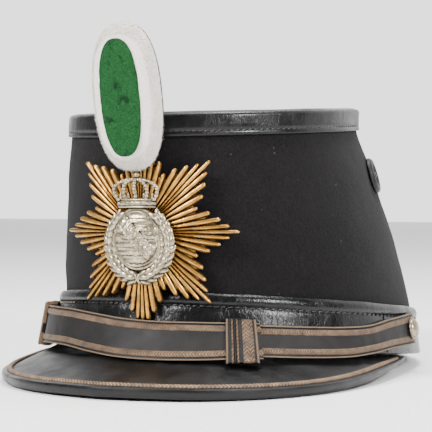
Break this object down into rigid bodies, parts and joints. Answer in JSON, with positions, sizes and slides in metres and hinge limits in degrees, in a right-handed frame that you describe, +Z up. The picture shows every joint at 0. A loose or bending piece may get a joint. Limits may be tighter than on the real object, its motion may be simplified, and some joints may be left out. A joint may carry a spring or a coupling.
{
  "type": "shako hat",
  "caption": "Black cloth-covered military shako with a lacquered leather crown, head band and peak, a leather chin strap, a gilt star with silver arms and an oval wool cockade.",
  "frame": {"origin": "on the ground, under the middle of the hat's bounding box, with the hat standing on the edge of its peak and the rear of its head band", "axes": "-Y towards the front of the hat and its peak, +X towards the wearer's left, +Z up"},
  "size_m": [0.1782, 0.247, 0.156],
  "materials": {
    "felt_cloth": "worn black felted wool cloth",
    "lacquered_leather": "glossy black lacquered leather, crackled",
    "strap_leather": "dull dark brown leather",
    "braid": "tarnished bronze-coloured woven braid",
    "gilt": "satin gilt brass",
    "silver": "warm tarnished silver",
    "white_wool": "short fuzzy white wool",
    "green_wool": "dense green wool",
    "blackened_metal": "black painted iron"
  },
  "bodies": {
    "root": {"cloth_body": "felt_cloth", "head_band": "lacquered_leather", "crown_rim": "lacquered_leather", "crown_top": "lacquered_leather", "peak": "lacquered_leather", "peak_binding": "lacquered_leather", "peak_piping": "braid", "strap_under_half": "strap_leather", "strap_outer_half": "strap_leather", "slider_left": "strap_leather", "button_left": "silver", "slider_right": "strap_leather", "button_right": "silver", "vent_left": "blackened_metal", "vent_right": "blackened_metal", "star": "gilt", "arms": "silver", "cockade_back": "blackened_metal", "cockade_prong": "blackened_metal", "cockade_pad": "white_wool", "cockade_inlay": "green_wool"}
  },
  "joints": []
}
